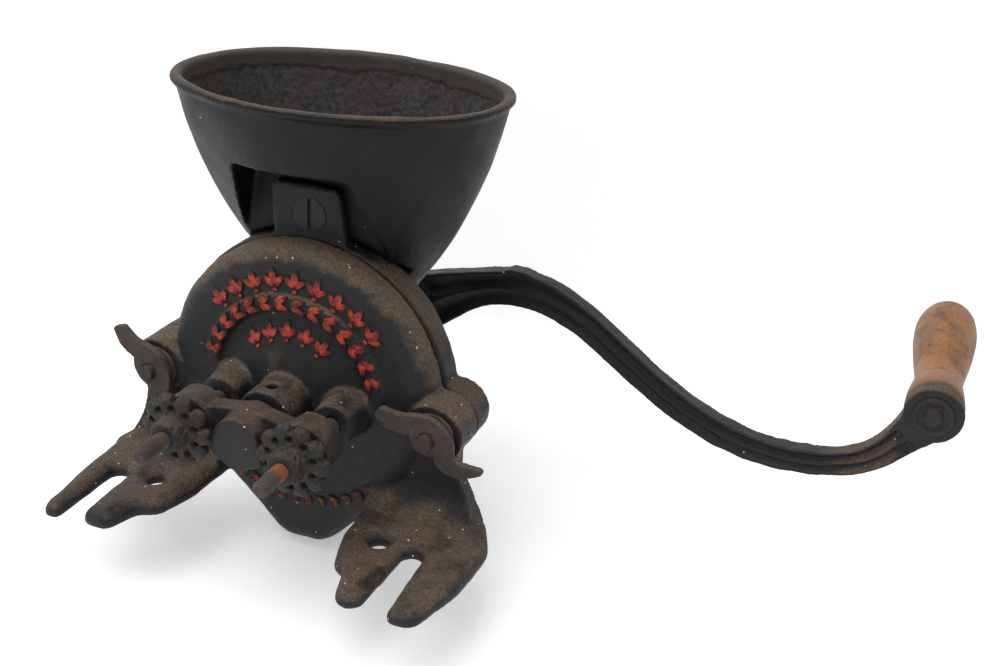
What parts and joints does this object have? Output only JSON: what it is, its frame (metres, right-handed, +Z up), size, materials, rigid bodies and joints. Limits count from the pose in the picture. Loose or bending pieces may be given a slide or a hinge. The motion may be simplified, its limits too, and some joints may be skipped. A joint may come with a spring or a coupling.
{
  "type": "hand grain mill",
  "caption": "Cast iron hand mill for a bench: oval hopper over a round grinding pan, slotted feet, adjusting nuts and an S-shaped crank with a turned wooden grip.",
  "frame": {"origin": "midway between the two bench holes, on the underside of the feet", "axes": "+Z up, +Y from the adjusting nuts along the shaft towards the crank, +X towards the crank's grip"},
  "size_m": [0.4794, 0.3798, 0.2724],
  "materials": {
    "cast_iron": "black lacquered casting, worn satin",
    "bare_iron": "bare ground casting, dull",
    "old_steel": "darkened steel with brown rust",
    "grip_wood": "turned and varnished, stained by use"
  },
  "bodies": {
    "frame": {"front_plate": "cast_iron", "mill_body": "cast_iron", "hopper": "cast_iron", "hopper_screw": "old_steel", "fixed_burr": "bare_iron", "fixed_burr_screws": "old_steel", "adjusting_stud_right": "old_steel", "adjusting_stud_left": "old_steel", "lug_bolts": "old_steel"},
    "yoke": {"adjusting_yoke": "cast_iron", "thrust_ball": "old_steel"},
    "hand_nut_r": {"hand_nut_right": "cast_iron"},
    "hand_nut_l": {"hand_nut_left": "cast_iron"},
    "washer_r": {"lug_washer_right": "old_steel"},
    "washer_l": {"lug_washer_left": "old_steel"},
    "wing_r": {"wing_nut_right": "cast_iron"},
    "wing_l": {"wing_nut_left": "cast_iron"},
    "shaft": {"main_shaft": "old_steel", "burr_carrier": "bare_iron", "drive_pin": "old_steel", "runner_burr": "bare_iron", "runner_burr_screws": "old_steel", "feed_worm": "bare_iron", "worm_pin": "old_steel", "crank_arm": "cast_iron", "crank_set_screw": "old_steel", "grip_bolt": "old_steel", "grip_washer": "old_steel"},
    "grip": {"grip": "grip_wood"}
  },
  "joints": [
    {"name": "yoke_slide", "type": "slide", "parent": "frame", "child": "yoke", "axis": [0, -1, 0], "range_m": [0, 0.003]},
    {"name": "hand_nut_right_turn", "type": "hinge", "parent": "yoke", "child": "hand_nut_r", "pos_m": [0.0355, -0.027, 0.063], "axis": [0, -1, 0], "range_deg": [0, 681]},
    {"name": "hand_nut_left_turn", "type": "hinge", "parent": "yoke", "child": "hand_nut_l", "pos_m": [-0.0355, -0.027, 0.063], "axis": [0, -1, 0], "range_deg": [0, 681]},
    {"name": "washer_right_slide", "type": "slide", "parent": "frame", "child": "washer_r", "axis": [0, -1, 0], "range_m": [0, 0.003]},
    {"name": "wing_nut_right_turn", "type": "hinge", "parent": "washer_r", "child": "wing_r", "pos_m": [0.0872, 0.025, 0.061], "axis": [0, -1, 0], "range_deg": [0, 766]},
    {"name": "washer_left_slide", "type": "slide", "parent": "frame", "child": "washer_l", "axis": [0, -1, 0], "range_m": [0, 0.003]},
    {"name": "wing_nut_left_turn", "type": "hinge", "parent": "washer_l", "child": "wing_l", "pos_m": [-0.0915, 0.025, 0.061], "axis": [0, -1, 0], "range_deg": [0, 766]},
    {"name": "crank_turn", "type": "hinge", "parent": "yoke", "child": "shaft", "pos_m": [0, 0.174, 0.063], "axis": [0, 1, 0], "continuous": true},
    {"name": "grip_spin", "type": "hinge", "parent": "shaft", "child": "grip", "pos_m": [0.33904, 0.245, 0.06777], "axis": [0, 1, 0], "continuous": true}
  ],
  "couplings": [
    {"joint": "hand_nut_right_turn", "follows": "yoke_slide", "rad_per_m": 3957.9},
    {"joint": "hand_nut_left_turn", "follows": "yoke_slide", "rad_per_m": 3957.9},
    {"joint": "wing_nut_right_turn", "follows": "washer_right_slide", "rad_per_m": 4452.6},
    {"joint": "wing_nut_left_turn", "follows": "washer_left_slide", "rad_per_m": 4452.6}
  ]
}
